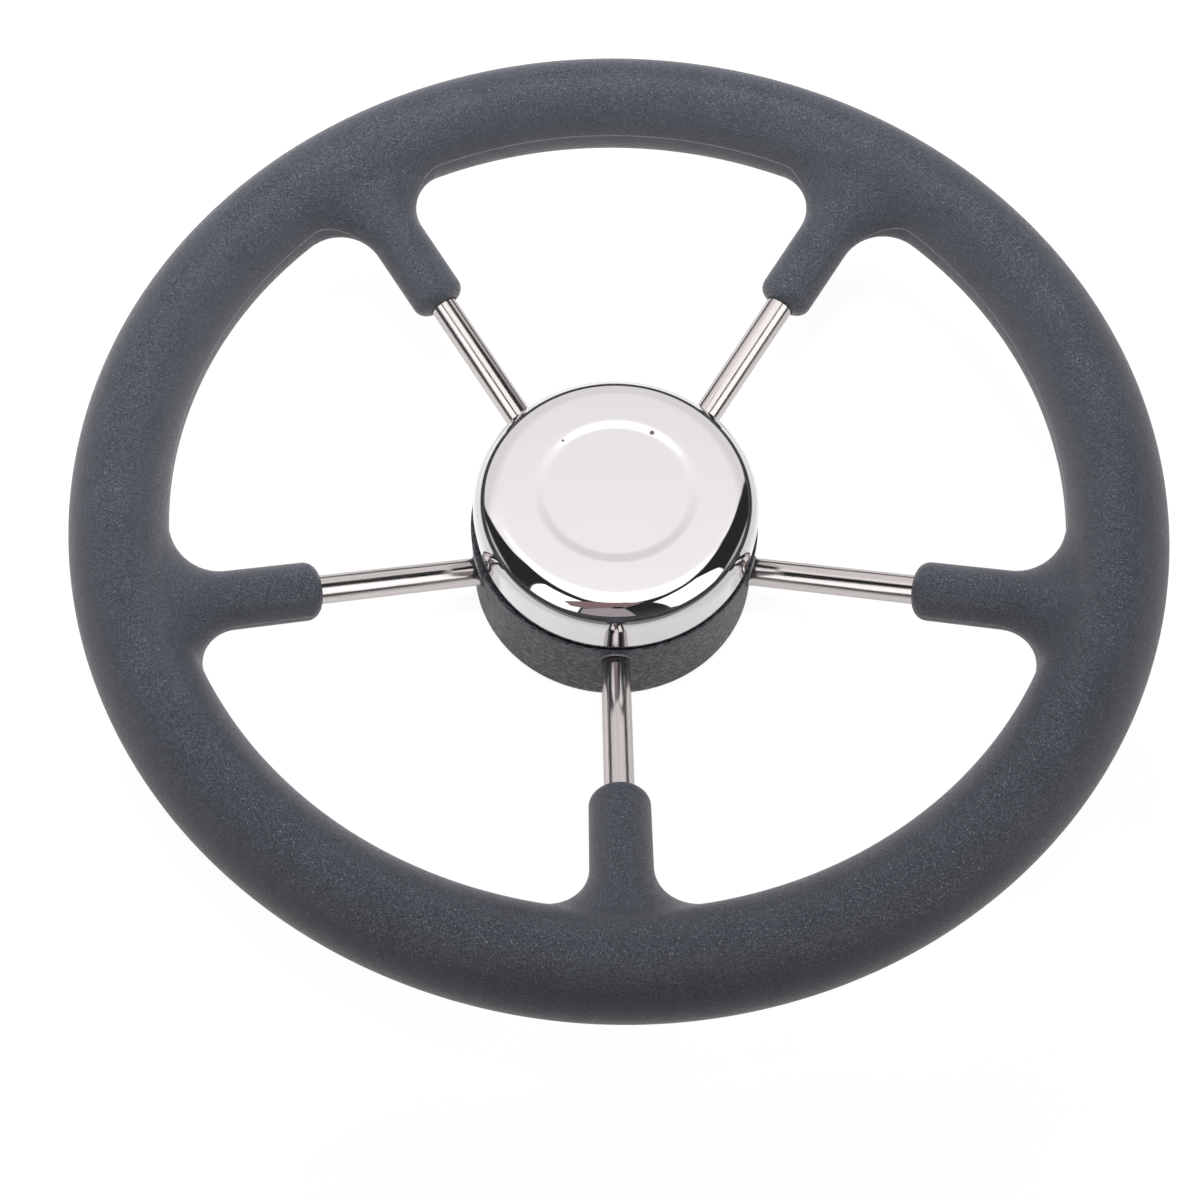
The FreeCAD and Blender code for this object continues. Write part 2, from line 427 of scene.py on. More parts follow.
def grainGroup(setup):
    # a broken net of thin winding ridges, with fine folds running across it
    group, given, result = newGroup("leatherGrain", [
        ("Vector", "NodeSocketVector", None),
        ("Cells", "NodeSocketFloat", 900.0),      # per metre
        ("Wander", "NodeSocketFloat", 0.6),       # how far the ridges bend
        ("Crest", "NodeSocketFloat", 0.15),       # half width of the ridges, in cells
        ("Fold", "NodeSocketFloat", 0.12),        # half width of the folds, in cells
    ], [
        ("Height", "NodeSocketFloat"), ("Crest Mask", "NodeSocketFloat"),
        ("Fold Mask", "NodeSocketFloat"), ("Mottle", "NodeSocketFloat"),
    ])

    def vector(operation, inputs):
        return addNode(group, "ShaderNodeVectorMath", inputs, operation=operation).outputs[0]

    def noise(place, scale, detail):
        inputs = {"Vector": place, "Scale": scale, "Detail": detail}
        return addNode(group, "ShaderNodeTexNoise", inputs).outputs

    def net(place, scale):
        inputs = {"Vector": place, "Scale": scale}
        cells = addNode(group, "ShaderNodeTexVoronoi", inputs, feature="DISTANCE_TO_EDGE")
        return cells.outputs["Distance"]

    place = vector("SCALE", {0: given["Vector"], "Scale": given["Cells"]})
    drift = noise(place, setup["bendScale"], 2.0)["Color"]
    bend = vector("SUBTRACT", {0: drift, 1: (0.5, 0.5, 0.5)})
    reach = calc(group, "MULTIPLY", given["Wander"], setup["bendReach"])
    winding = vector("ADD", {0: place, 1: vector("SCALE", {0: bend, "Scale": reach})})
    whole = noise(place, setup["breakScale"], 0.0)[0]
    unbroken = ramp(group, whole, *setup["breakSpread"], setup["breakLeft"], 1.0)
    ridge = ramp(group, net(winding, 1.0), 0.0, given["Crest"], 1.0, 0.0)
    litCrest = calc(group, "MULTIPLY", ridge, unbroken)
    elsewhere = vector("ADD", {0: winding, 1: setup["foldShift"]})
    groove = ramp(group, net(elsewhere, setup["foldScale"]), 0.0, given["Fold"], 1.0, 0.0)
    shadedFold = calc(group, "MULTIPLY", groove, calc(group, "SUBTRACT", 1.0, litCrest))
    sunk = calc(group, "MULTIPLY", shadedFold, setup["foldDepth"])
    results = {
        "Height": calc(group, "SUBTRACT", litCrest, sunk),
        "Crest Mask": litCrest,
        "Fold Mask": shadedFold,
        "Mottle": noise(given["Vector"], setup["mottleScale"], 3.0)[0],
    }
    for label, value in results.items():
        group.links.new(value, result[label])
    return group


leatherGrain = grainGroup(grainPattern)
mottleSpread = grainPattern["mottleSpread"]

gripFoam = {
    "colour": (0.040, 0.0445, 0.0585),
    # the grain's ridges are painted lighter as a highlight, and its folds darker as shade
    "litCrest": (0.062, 0.068, 0.087),
    "shadedFold": (0.021, 0.0235, 0.031),
    "mottle": (0.93, 1.07),
    "roughness": (0.31, 0.37),
    "gloss": 0.7,
    "grain": {"Cells": 1080.0, "Wander": 0.6, "Crest": 0.17, "Fold": 0.13},
    "depth": 0.00036,
    # the seam's bead is raised in the bump and painted lighter as a highlight
    "seamHighlight": (0.26, 0.27, 0.29),
    "seamStrength": 0.8,
    "seamHeight": 0.0003,
    "seamHalf": 0.00045,       # half its width
    "kink": -163.1,            # degrees round the shaft, of a faint sunk line across the rim, in the folds' painted shade
    "kinkHalf": 0.30,          # degrees, where it has faded out
    "kinkFlat": 0.05,          # degrees, where it starts to fade
    "kinkStrength": 0.4,
    "kinkReach": (-0.139, -0.146),    # along X, from none to full
}


def makeGripFoam(setup):
    material, tree, shader = newMaterial("gripFoam")
    place = addNode(tree, "ShaderNodeTexCoord").outputs["Object"]
    grain = useGroup(tree, leatherGrain, {"Vector": place, **setup["grain"]})
    # painted shade in the grain's folds and painted highlight on its ridges
    colour = blendColour(tree, grain["Fold Mask"], (*setup["colour"], 1), (*setup["shadedFold"], 1))
    colour = blendColour(tree, grain["Crest Mask"], colour, (*setup["litCrest"], 1))
    shade = ramp(tree, grain["Mottle"], *mottleSpread, *setup["mottle"], "LINEAR")
    colour = blendColour(tree, 1.0, colour, greyOf(tree, shade), "MULTIPLY")
    seam = addNode(tree, "ShaderNodeAttribute", attribute_name="seamGap").outputs["Fac"]
    bead = peak(tree, seam, 0.0, setup["seamHalf"])
    line = calc(tree, "MULTIPLY", bead, setup["seamStrength"])
    # painted highlight along the seam's bead
    colour = blendColour(tree, line, colour, (*setup["seamHighlight"], 1))
    split = addNode(tree, "ShaderNodeSeparateXYZ", {"Vector": place}).outputs
    turn = calc(tree, "DEGREES", calc(tree, "ARCTAN2", split["Y"], split["X"]))
    kink = peak(tree, turn, setup["kink"], setup["kinkHalf"],
                most=setup["kinkStrength"], flat=setup["kinkFlat"])
    kink = calc(tree, "MULTIPLY", kink, ramp(tree, split["X"], *setup["kinkReach"]))
    # the line is sunk, and painted with the folds' painted shade
    colour = blendColour(tree, kink, colour, (*setup["shadedFold"], 1))
    tree.links.new(colour, shader.inputs["Base Color"])
    setRoughness(tree, shader, grain["Mottle"], mottleSpread, *setup["roughness"])
    shader.inputs["Specular IOR Level"].default_value = setup["gloss"]
    height = calc(tree, "MULTIPLY", grain["Height"], setup["depth"])
    height = calc(tree, "ADD", height, calc(tree, "MULTIPLY", bead, setup["seamHeight"]))
    height = calc(tree, "SUBTRACT", height, calc(tree, "MULTIPLY", kink, setup["depth"]))
    addBump(tree, shader, height)
    return material


gripMaterial = makeGripFoam(gripFoam)

bossFoam = {
    "colour": (0.022, 0.022, 0.029),
    # the ridges are painted lighter as a highlight, and the folds darker as shade
    "litCrest": (0.135, 0.134, 0.152),
    "shadedFold": (0.006, 0.006, 0.008),
    "roughness": (0.35, 0.41),
    "gloss": 0.36,
    "grain": {"Cells": 580.0, "Wander": 0.8, "Crest": 0.22, "Fold": 0.18},
    "depth": 0.0005,
    "radius": 0.0485,
    "stretch": 0.50,           # the cells run round the boss
    "smoothBand": (0.0285, 0.0315),    # the grain fades out towards the lip
    "smoothLeft": 0.35,                # what is left of it there
    "lines": (0.0293, 0.0266),         # heights of fine raised lines that run round, painted lighter as a highlight
    "lineHighlight": (0.16, 0.16, 0.17),
    "lineHalf": 0.00025,
    "lineStrength": 0.6,
    "lineWaver": 0.002,
    "waverScale": 60.0,
    "linesShown": (0.42, 0.52),        # mottle where a line is broken and where it is whole
    "rodHeight": 0.02627,              # where a rod's middle enters the boss
    "collar": 0.0055,                  # radius of the low edge of foam around a rod
    "collarHalf": 0.0005,
    # the collar's edge is painted pale as a highlight, and the gap inside it dark as painted shade
    "collarHighlight": (0.30, 0.30, 0.31),
    "collarStrength": 0.8,
    "collarHeight": 1.5,               # against a ridge of the grain
    "collarRise": 0.003,               # over the rod's middle, where the edge is full
    "collarGap": (0.0009, 0.0004),     # inside that radius, where the painted shade of the gap fades out
    "gapShadeStrength": 0.6,
    "nick": (0.01725, -0.04450, 0.0334),
    "nickRadii": (0.0005, 0.0009),
    "nickColour": (0.004, 0.004, 0.004),
}


def makeBossFoam(setup):
    material, tree, shader = newMaterial("bossFoam")
    place = addNode(tree, "ShaderNodeTexCoord").outputs["Object"]
    x, y, z = addNode(tree, "ShaderNodeSeparateXYZ", {"Vector": place}).outputs
    away = hypot(tree, x, y)
    turn = calc(tree, "ARCTAN2", x, y)
    along = calc(tree, "MULTIPLY", turn, setup["radius"] * setup["stretch"])
    wrapped = addNode(tree, "ShaderNodeCombineXYZ", {"X": along, "Y": z, "Z": away}).outputs[0]
    grain = useGroup(tree, leatherGrain, {"Vector": wrapped, **setup["grain"]})
    # painted shade in the folds, and painted highlight on the ridges that fades towards the lip
    colour = blendColour(tree, grain["Fold Mask"], (*setup["colour"], 1), (*setup["shadedFold"], 1))
    plain = ramp(tree, z, *setup["smoothBand"], 1.0, setup["smoothLeft"])
    litCrest = calc(tree, "MULTIPLY", grain["Crest Mask"], plain)
    colour = blendColour(tree, litCrest, colour, (*setup["litCrest"], 1))
    setRoughness(tree, shader, grain["Mottle"], mottleSpread, *setup["roughness"])
    shader.inputs["Specular IOR Level"].default_value = setup["gloss"]
    height = calc(tree, "MULTIPLY", grain["Height"], plain)

    # fine broken raised lines that run round, painted lighter as a highlight
    waves = {"Vector": wrapped, "Scale": setup["waverScale"], "Detail": 1.0}
    waver = calc(tree, "SUBTRACT", addNode(tree, "ShaderNodeTexNoise", waves).outputs[0], 0.5)
    for level in setup["lines"]:
        middle = calc(tree, "ADD", calc(tree, "MULTIPLY", waver, setup["lineWaver"]), level)
        line = peak(tree, z, middle, setup["lineHalf"], setup["lineStrength"])
        line = calc(tree, "MULTIPLY", line, ramp(tree, grain["Mottle"], *setup["linesShown"]))
        height = calc(tree, "ADD", height, line)
        colour = blendColour(tree, line, colour, (*setup["lineHighlight"], 1))

    # edge of the collar over each rod, raised and painted pale as a highlight over the rod's upper
    # half, and painted shade in the gap inside it
    fromFirst = calc(tree, "ADD", turn, math.pi)
    fromRod = calc(tree, "PINGPONG", fromFirst, math.pi / wheel["spokeCount"])
    across = calc(tree, "MULTIPLY", calc(tree, "SINE", fromRod), away)
    rise = calc(tree, "MULTIPLY", calc(tree, "SUBTRACT", z, setup["rodHeight"]), dishCos)
    around = hypot(tree, across, rise)
    edge = peak(tree, around, setup["collar"], setup["collarHalf"])
    edge = calc(tree, "MULTIPLY", edge, ramp(tree, rise, 0.0, setup["collarRise"]))
    height = calc(tree, "ADD", height, calc(tree, "MULTIPLY", edge, setup["collarHeight"]))
    pale = calc(tree, "MULTIPLY", edge, setup["collarStrength"])
    colour = blendColour(tree, pale, colour, (*setup["collarHighlight"], 1))
    # painted shade in the gap between the collar and the rod
    gapStart, gapEnd = [setup["collar"] - depth for depth in setup["collarGap"]]
    gap = ramp(tree, around, gapStart, gapEnd, setup["gapShadeStrength"], 0.0)
    colour = blendColour(tree, gap, colour, (*setup["shadedFold"], 1))

    apart = distanceTo(tree, place, setup["nick"])
    nick = ramp(tree, apart, *setup["nickRadii"], 1.0, 0.0)
    colour = blendColour(tree, nick, colour, (*setup["nickColour"], 1))
    tree.links.new(colour, shader.inputs["Base Color"])
    addBump(tree, shader, calc(tree, "MULTIPLY", height, setup["depth"]))
    return material


bossMaterial = makeBossFoam(bossFoam)


# Steels

mirrorSteel = {
    "colour": (0.70, 0.69, 0.69),
    "roughness": (0.02, 0.06),
    "smearScale": 45.0,
    "smearSpread": (0.35, 0.75),
    "specks": (                # place and radius
        ((-0.01724, 0.01895), 0.00060),
        ((0.01244, 0.02206), 0.00105),
    ),
    "speckColour": (0.02, 0.015, 0.015),
    "speckStrength": 0.9,
}
rodSteel = {
    "colour": (0.60, 0.565, 0.555),
    "edge": (0.42, 0.375, 0.36),       # painted shade: a darker colour towards the rod's sides, where they turn from the view
    "sideShadeFacing": (0.4, 0.8),
    "roughness": (0.09, 0.17),
    "streakScale": (60.0, 3.0, 1.0),
    "streakSpread": (0.35, 0.65),
    "streakShade": (0.92, 1.06),
    "streakDepth": 0.00003,
}


def makeMirror(setup):
    material, tree, shader = newMaterial("mirrorSteel")
    place = addNode(tree, "ShaderNodeTexCoord").outputs["Object"]
    waves = {"Vector": place, "Scale": setup["smearScale"], "Detail": 4.0, "Roughness": 0.6}
    smear = addNode(tree, "ShaderNodeTexNoise", waves).outputs[0]
    roughness = ramp(tree, smear, *setup["smearSpread"], *setup["roughness"])
    tree.links.new(roughness, shader.inputs["Roughness"])
    colour = (*setup["colour"], 1)
    onFace = {0: place, 1: (1, 1, 0)}
    flat = addNode(tree, "ShaderNodeVectorMath", onFace, operation="MULTIPLY").outputs[0]
    for spot, radius in setup["specks"]:
        apart = distanceTo(tree, flat, (*spot, 0))
        speck = ramp(tree, apart, radius / 2, radius, setup["speckStrength"], 0.0)
        colour = blendColour(tree, speck, colour, (*setup["speckColour"], 1))
    tree.links.new(colour, shader.inputs["Base Color"])
    shader.inputs["Metallic"].default_value = 1.0
    return material


def makeRodSteel(setup):
    material, tree, shader = newMaterial("rodSteel")
    along = addNode(tree, "ShaderNodeUVMap", uv_map="rodWrap").outputs[0]
    drawn = {"Vector": along, "Scale": setup["streakScale"]}
    stretched = addNode(tree, "ShaderNodeMapping", drawn).outputs[0]
    waves = {"Vector": stretched, "Scale": 1.0, "Detail": 4.0, "Roughness": 0.65}
    streak = addNode(tree, "ShaderNodeTexNoise", waves).outputs[0]
    # painted shade: the colour darkens where the rod turns from the view
    facing = addNode(tree, "ShaderNodeLayerWeight", {"Blend": 0.5}).outputs["Facing"]
    edge = ramp(tree, facing, *setup["sideShadeFacing"])
    colour = blendColour(tree, edge, (*setup["colour"], 1), (*setup["edge"], 1))
    shade = ramp(tree, streak, *setup["streakSpread"], *setup["streakShade"], "LINEAR")
    colour = blendColour(tree, 1.0, colour, greyOf(tree, shade), "MULTIPLY")
    tree.links.new(colour, shader.inputs["Base Color"])
    shader.inputs["Metallic"].default_value = 1.0
    setRoughness(tree, shader, streak, mottleSpread, *setup["roughness"])
    addBump(tree, shader, calc(tree, "MULTIPLY", streak, setup["streakDepth"]))
    return material


# Plain finishes of what the foam and the cap hide

hiddenFinishes = {
    "turnedSteel": {
        "colour": (0.55, 0.54, 0.52), "metal": 1.0, "roughness": (0.26, 0.38), "scale": 900.0,
    },
    "blackRubber": {
        "colour": (0.02, 0.02, 0.02), "metal": 0.0, "roughness": (0.64, 0.76), "scale": 300.0,
    },
}


def makeHidden(name):
    setup = hiddenFinishes[name]
    material, tree, shader = newMaterial(name)
    place = addNode(tree, "ShaderNodeTexCoord").outputs["Object"]
    waves = {"Vector": place, "Scale": setup["scale"], "Detail": 2.0}
    marks = addNode(tree, "ShaderNodeTexNoise", waves).outputs[0]
    setRoughness(tree, shader, marks, mottleSpread, *setup["roughness"])
    shader.inputs["Base Color"].default_value = (*setup["colour"], 1)
    shader.inputs["Metallic"].default_value = setup["metal"]
    return material


turnedSteel = makeHidden("turnedSteel")
blackRubber = makeHidden("blackRubber")
print("finishes made")


# Copies around the shaft

def copiesTree():
    tree = bpy.data.node_groups.new("aroundShaft", "GeometryNodeTree")
    tree.interface.new_socket("Geometry", in_out="INPUT", socket_type="NodeSocketGeometry")
    kinds = {"Count": "Int", "First Angle": "Float", "Weld": "Float", "Material": "Material"}
    for label, kind in kinds.items():
        tree.interface.new_socket(label, in_out="INPUT", socket_type="NodeSocket" + kind)
    tree.interface.new_socket("Geometry", in_out="OUTPUT", socket_type="NodeSocketGeometry")
    given = tree.nodes.new("NodeGroupInput").outputs
    result = tree.nodes.new("NodeGroupOutput").inputs
    points = addNode(tree, "GeometryNodePoints", {"Count": given["Count"]})
    index = addNode(tree, "GeometryNodeInputIndex").outputs[0]
    step = calc(tree, "DIVIDE", 360.0, given["Count"])
    turn = calc(tree, "ADD", calc(tree, "MULTIPLY", index, step), given["First Angle"])
    turn = calc(tree, "RADIANS", turn)
    euler = addNode(tree, "ShaderNodeCombineXYZ", {"Z": turn}).outputs[0]
    rotation = addNode(tree, "FunctionNodeEulerToRotation", {"Euler": euler}).outputs[0]
    copies = addNode(tree, "GeometryNodeInstanceOnPoints", {
        "Points": points.outputs[0], "Instance": given["Geometry"], "Rotation": rotation,
    })
    real = addNode(tree, "GeometryNodeRealizeInstances", {"Geometry": copies.outputs[0]})
    weld = addNode(tree, "GeometryNodeMergeByDistance", {
        "Geometry": real.outputs[0], "Distance": given["Weld"],
    })
    done = addNode(tree, "GeometryNodeSetMaterial", {
        "Geometry": weld.outputs[0], "Material": given["Material"],
    })
    tree.links.new(done.outputs[0], result["Geometry"])
    return tree


aroundShaft = copiesTree()
weldDistance = 0.00001         # where the copies meet


def copyAround(piece, material):
    modifier = piece.modifiers.new("aroundShaft", "NODES")
    modifier.node_group = aroundShaft
    wanted = {
        "Count": wheel["spokeCount"], "First Angle": wheel["firstSpoke"],
        "Weld": weldDistance, "Material": material,
    }
    for item in aroundShaft.interface.items_tree:
        if item.item_type == "SOCKET" and item.in_out == "INPUT" and item.name in wanted:
            modifier[item.identifier] = wanted[item.name]
    graph = bpy.context.evaluated_depsgraph_get()
    mesh = bpy.data.meshes.new_from_object(piece.evaluated_get(graph))
    piece.modifiers.clear()
    piece.data = mesh
    giveMaterial(piece, material)
    smooth(piece)


# Grip: one fifth of it, with a sleeve along +X, then copied round

grip = {
    "halfWidth": 0.0155,
    "halfDepth": 0.0166,
    "sleeveRadius": 0.0095,
    "sleeveEnd": 0.06097,      # ring centre to the free end, along the spoke
    "noseRound": 0.0045,
    "blend": 0.0165,           # hollow rounding at the sleeve's root
    "rodHole": 0.00478,
    "holeDepth": 0.004,
    "holeEdge": (0.0003, 0.0002),    # its bevel, across and along
    "columns": 120,            # along one fifth of the rim
    "rows": 64,                # round its section
    "rootColumns": 8,          # half the opening from which the sleeve grows
    "rootRows": 8,
    "easeColumns": 14,         # how far past the opening the skin is eased
    "easeRows": 12,
    "blendEnd": 0.036,         # ring centre to the plain part of the sleeve
    "blendSteps": 11,
    "sleeveSteps": 15,
    "noseSteps": 9,
    "relax": 60,               # rounds of easing, and the share that each one moves
    "relaxShare": 0.6,
    "noSeam": 0.01,            # stands for no seam, well over its half width
}


def ringGap(points):
    # outside distance of the oval ring, and its slope
    away = np.hypot(points[:, 0], points[:, 1])
    across = away - wheel["ringRadius"]
    along = points[:, 2] - wheel["ringHeight"]
    w, d = grip["halfWidth"], grip["halfDepth"]
    reach = np.hypot(across / w, along / d)
    pull = np.hypot(across / w ** 2, along / d ** 2)
    gap = reach * (reach - 1) / pull
    outward = across / w ** 2 / away
    slope = np.stack([outward * points[:, 0], outward * points[:, 1], along / d ** 2], 1)
    return gap, slope / np.linalg.norm(slope, axis=1, keepdims=True)


def sleeveGap(points):
    apart = points - ringCentre
    off = apart - np.outer(apart @ inward, inward)
    size = np.linalg.norm(off, axis=1)
    return size - grip["sleeveRadius"], off / size[:, None]


def skinGap(points):
    # outside distance of ring and sleeve with a rolling-ball rounding between them;
    # c is the cosine between their slopes, held short of parallel
    a, aSlope = ringGap(points)
    b, bSlope = sleeveGap(points)
    ball = grip["blend"]
    u, v = ball - a, ball - b
    limit = 0.98
    c = np.clip((aSlope * bSlope).sum(1), -limit, limit)
    hollow = (u > 0) & (v > 0) & (v > c * u) & (u > c * v)
    reach = np.sqrt(np.maximum(u * u + v * v - 2 * u * v * c, 1e-12) / (1 - c * c))
    return np.where(hollow, ball - reach, np.minimum(a, b))


def toSkin(points, rounds=4):
    # a few steps down the slope of the skin's distance
    nudge, flattest = 0.00002, 0.2
    for _ in range(rounds):
        here = skinGap(points)
        rises = [skinGap(points + nudge * axis) - skinGap(points - nudge * axis)
                 for axis in np.eye(3)]
        slope = np.stack(rises, 1) / (2 * nudge)
        size = np.maximum((slope * slope).sum(1), flattest)
        points = points - slope * (here / size)[:, None]
    return points


def signedRow(index):
    # rows are counted both ways from the one on the sleeve's axis
    half = grip["rows"] // 2
    return (index + half) % grip["rows"] - half


def openRing():
    # a fifth of the oval ring with an opening for the sleeve, and the loop of points round it
    columns, rows = grip["columns"], grip["rows"]
    w, d = grip["halfWidth"], grip["halfDepth"]
    halfFifth = 180.0 / wheel["spokeCount"]
    theta = np.radians(np.linspace(-halfFifth, halfFifth, columns + 1))
    onAxis = -math.atan2(w * dishSin, d * dishCos)
    phi = onAxis + 2 * math.pi * np.arange(rows) / rows
    away = wheel["ringRadius"] - w * np.cos(phi)
    points = np.stack([
        np.outer(np.cos(theta), away), np.outer(np.sin(theta), away),
        np.broadcast_to(wheel["ringHeight"] + d * np.sin(phi), (columns + 1, rows)),
    ], 2).reshape(-1, 3)

    def at(column, row):
        return column * rows + row % rows

    half = grip["rootRows"]
    left, right = columns // 2 - grip["rootColumns"], columns // 2 + grip["rootColumns"]
    faces = []
    for i in range(columns):
        for j in range(rows):
            if left <= i < right and -half <= signedRow(j) < half:
                continue
            faces.append((at(i, j), at(i, j + 1), at(i + 1, j + 1), at(i + 1, j)))
    loop = [at(i, -half) for i in range(left, right)]
    loop += [at(right, j) for j in range(-half, half)]
    loop += [at(i, half) for i in range(right, left, -1)]
    loop += [at(left, j) for j in range(half, -half, -1)]
    return points, faces, loop


def sleeveStations():
    # the plain part, the nose and the rod's hole: distance from the ring centre, and radius
    radius, end, nose = grip["sleeveRadius"], grip["sleeveEnd"], grip["noseRound"]
    hole = grip["rodHole"]
    edgeOut, edgeDown = grip["holeEdge"]
    plain = np.linspace(grip["blendEnd"], end - nose, grip["sleeveSteps"])
    stations = [(s, radius) for s in plain]
    for t in np.linspace(0, math.pi / 2, grip["noseSteps"])[1:]:
        stations.append((end - nose + nose * math.sin(t), radius - nose + nose * math.cos(t)))
    stations += [(end, hole + edgeOut), (end - edgeDown, hole), (end - grip["holeDepth"], hole)]
    return stations


def sleeveRings(loopPoints):
    # rings of points from the opening through the blend and down the sleeve
    count = len(loopPoints)
    firstCorner = math.radians(225)    # where the loop round the opening starts
    psi = firstCorner + 2 * math.pi * np.arange(count) / count
    dirs = np.outer(np.cos(psi), sideways) + np.outer(np.sin(psi), upward)
    offset = loopPoints - ringCentre
    along = offset @ inward
    off = offset - np.outer(along, inward)
    reach = np.linalg.norm(off, axis=1)
    outward = off / reach[:, None]
    radius, steps = grip["sleeveRadius"], grip["blendSteps"]
    rings = []
    for k in range(1, steps):
        share = k / steps
        s = along + (grip["blendEnd"] - along) * share
        size = radius + (reach - radius) * (1 - share) ** 2
        turn = outward * (1 - share) + dirs * share
        turn /= np.linalg.norm(turn, axis=1, keepdims=True)
        rings.append(ringCentre + np.outer(s, inward) + turn * size[:, None])
    for s, size in sleeveStations():
        rings.append(ringCentre + s * inward + dirs * size)
    return rings


def easeSkin(points, faces, free):
    # each round draws the free points towards their neighbours and lays them on the skin
    squares = [face for face in faces if len(face) == 4]
    pairs = np.array([(face[k], face[(k + 1) % 4]) for face in squares for k in range(4)])
    pairs = np.concatenate([pairs, pairs[:, ::-1]])
    total, share = len(points), grip["relaxShare"]
    degree = np.maximum(np.bincount(pairs[:, 0], minlength=total), 1)
    points[free] = toSkin(points[free])
    for _ in range(grip["relax"]):
        sums = [np.bincount(pairs[:, 0], points[pairs[:, 1], k], total) for k in range(3)]
        mean = np.stack(sums, 1) / degree[:, None]
        points[free] = (1 - share) * points[free] + share * mean[free]
        points[free] = toSkin(points[free], 2)
    points[free] = toSkin(points[free], 3)


def makeGripFifth():
    ring, faces, loop = openRing()
    rings = sleeveRings(ring[loop])
    points = np.concatenate([ring, *rings])
    count = len(loop)
    loops = [loop]
    for k in range(len(rings)):
        first = len(ring) + k * count
        loops.append(list(range(first, first + count)))
    for first, second in zip(loops, loops[1:]):
        for k in range(count):
            n = (k + 1) % count
            faces.append((first[k], second[k], second[n], first[n]))
    faces.append(tuple(loops[-1]))

    # ease the blend and the ring around it, and drop what lay inside the opening
    used = np.zeros(len(points), bool)
    for face in faces:
        used[list(face)] = True
    index = np.arange(len(points))
    column = index // grip["rows"]
    closeBy = abs(column - grip["columns"] // 2) < grip["rootColumns"] + grip["easeColumns"]
    closeBy &= abs(signedRow(index)) < grip["rootRows"] + grip["easeRows"]
    inRing = index < len(ring)
    inBlend = ~inRing & (index < len(ring) + (grip["blendSteps"] - 1) * count)
    easeSkin(points, faces, used & (inRing & closeBy | inBlend))
    keep = np.cumsum(used) - 1
    return points[used], [tuple(int(keep[v]) for v in face) for face in faces]


def seamGap(points):
    # height over the mould's parting face, on the inner half only
    apart = points - ringCentre
    down = np.clip(-apart[:, 0] / dishCos, 0, None)
    side = abs(points[:, 1])
    level = wheel["ringHeight"] - down * dishSin
    share = np.clip((side - grip["sleeveRadius"]) / grip["blend"], 0, 1)
    share = share * share * (3 - 2 * share)
    gap = points[:, 2] - (level * (1 - share) + wheel["ringHeight"] * share)
    outer = np.hypot(points[:, 0], points[:, 1]) > wheel["ringRadius"]
    return np.where(outer, grip["noSeam"], gap)


def makeGrip():
    points, faces = makeGripFifth()
    piece = newPiece("gripSkin", points, faces)
    seam = piece.data.attributes.new("seamGap", "FLOAT", "POINT")
    seam.data.foreach_set("value", seamGap(points).astype(np.float32))
    copyAround(piece, gripMaterial)
    return piece


gripSkin = makeGrip()
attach(gripSkin, "root")
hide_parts("rim_grip")
print("grip made:", len(gripSkin.data.polygons), "faces")


# Rods

rods = {
    "radius": 0.00475,
    "start": 0.0135,           # from the shaft, inside the core
    "end": 0.1549,             # inside the grip, at the ring
    "sides": 72,
    "steps": 24,
}


def makeRods():
    count = rods["sides"]
    last = rods["steps"] - 1
    distances = np.linspace(rods["start"], rods["end"], rods["steps"])
    turn = 2 * np.pi * np.arange(count) / count
    dirs = np.outer(np.cos(turn), sideways) + np.outer(np.sin(turn), upward)
    points, faces = [], []
    for distance in distances:
        s = (wheel["ringRadius"] - distance) / dishCos
        points.append(ringCentre + s * inward + dirs * rods["radius"])
    for k in range(last):
        low, high = k * count, (k + 1) * count
        for i in range(count):
            n = (i + 1) % count
            faces.append((low + i, low + n, high + n, high + i))
    faces.append(tuple(range(count))[::-1])
    faces.append(tuple(last * count + i for i in range(count)))
    piece = newPiece("rodSet", np.concatenate(points), faces)
    wrap = piece.data.uv_layers.new(name="rodWrap")
    for face in piece.data.polygons:
        # the last face of each ring closes it, so its far side takes the full turn
        closing = len(face.vertices) == 4 and any(v % count == count - 1 for v in face.vertices)
        for loopIndex, vertex in zip(face.loop_indices, face.vertices):
            ringIndex, side = divmod(vertex, count)
            if side == 0 and closing:
                side = count
            wrap.data[loopIndex].uv = (side / count, ringIndex / last)
    copyAround(piece, makeRodSteel(rodSteel))
    return piece


rodSet = makeRods()
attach(rodSet, "root")
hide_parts("spoke_1", "spoke_2", "spoke_3", "spoke_4", "spoke_5")
print("rods made")


# Cap: a turned sheet

cap = {
    "radius": 0.0475,
    "seat": 0.03262,           # height of its lower edge
    "height": 0.0227,
    "sheet": 0.0009,
    "corner": 0.0100,          # radius between wall and face
    "recessRadius": 0.0233,
    "recessStep": 0.0042,      # width of the soft step around it
    "recessDepth": 0.0004,
    "offCentre": (0.0003, 0.0, 0.0),
    "turns": 384,
    "faceSteps": 5,            # points along each part of the section
    "recessSteps": 25,
    "cornerSteps": 41,
    "wallSteps": 7,
    "sharpFrom": 40.0,         # degrees, for the sheet's edge
}


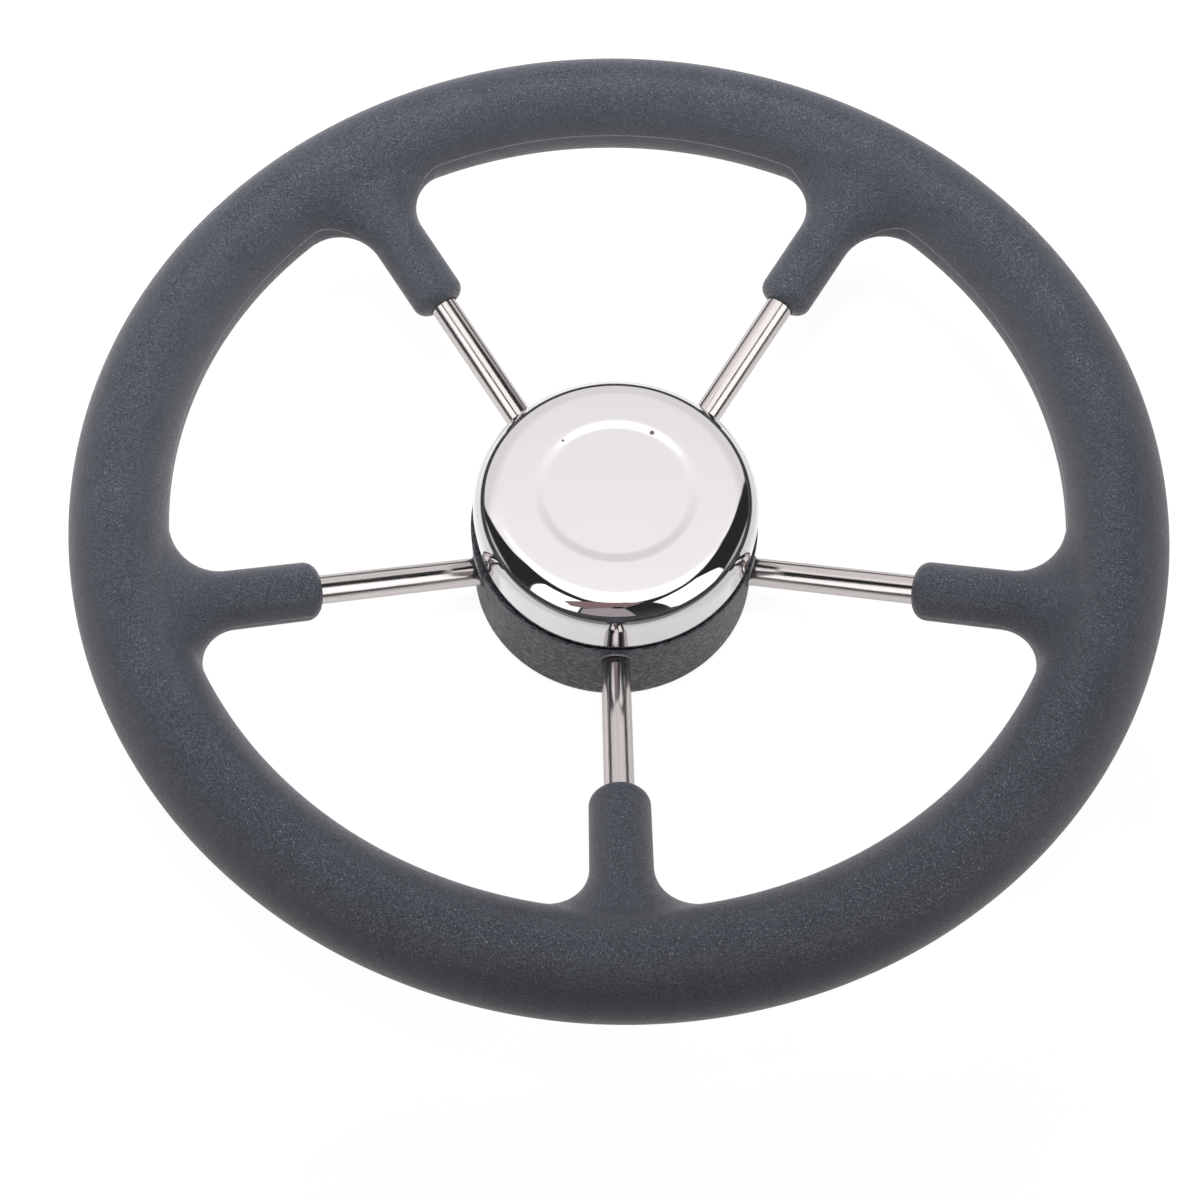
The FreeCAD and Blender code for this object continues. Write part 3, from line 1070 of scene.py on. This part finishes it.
def capProfile(drop):
    # half a section, from the shaft out and down the wall, at drop inside the outer face
    top = cap["seat"] + cap["height"]
    floorLevel = top - cap["recessDepth"] - drop
    points = [(r, floorLevel) for r in np.linspace(0, cap["recessRadius"], cap["faceSteps"])]
    for t in np.linspace(0, 1, cap["recessSteps"])[1:]:
        ease = t * t * (3 - 2 * t)
        out = cap["recessRadius"] + cap["recessStep"] * t
        points.append((out, floorLevel + cap["recessDepth"] * ease))
    start = cap["radius"] - cap["corner"]
    points += [(r, top - drop) for r in np.linspace(points[-1][0], start, cap["faceSteps"])[1:]]
    bend = cap["corner"] - drop
    for t in np.linspace(0, math.pi / 2, cap["cornerSteps"])[1:]:
        points.append((start + bend * math.sin(t), top - cap["corner"] + bend * math.cos(t)))
    wall, wallTop = points[-1]
    points += [(wall, z) for z in np.linspace(wallTop, cap["seat"], cap["wallSteps"])[1:]]
    return points


def lathe(name, profile, turns):
    # the profile starts and ends on the shaft; each end is one point
    angles = 2 * np.pi * np.arange(turns) / turns
    points = [(0, 0, profile[0][1])]
    faces = []
    body = profile[1:-1]
    for r, z in body:
        points += [(r * math.cos(a), r * math.sin(a), z) for a in angles]
    points.append((0, 0, profile[-1][1]))
    last = len(points) - 1
    for i in range(turns):
        n = (i + 1) % turns
        faces.append((0, 1 + i, 1 + n))
        for k in range(len(body) - 1):
            a, b = 1 + k * turns, 1 + (k + 1) * turns
            faces.append((a + i, b + i, b + n, a + n))
        a = 1 + (len(body) - 1) * turns
        faces.append((last, a + n, a + i))
    return newPiece(name, points, faces)


def makeCap():
    outside, inside = capProfile(0.0), capProfile(cap["sheet"])
    piece = lathe("capShell", outside + inside[::-1], cap["turns"])
    piece.data.transform(Matrix.Translation(cap["offCentre"]))
    giveMaterial(piece, makeMirror(mirrorSteel))
    smooth(piece)
    piece.data.set_sharp_from_angle(angle=math.radians(cap["sharpFrom"]))
    return piece


capShell = makeCap()
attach(capShell, "root")
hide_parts("centre_cap")
print("cap made")


# Nodes whose shape is right keep it

keptNodes = {
    "hub_boss": bossMaterial,
    "hub_core": turnedSteel,
    "rim_ring": turnedSteel,
    "cap_ring": blackRubber,
}
for node, finish in keptNodes.items():
    giveMaterial(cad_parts[node], finish)

print("all pieces made")
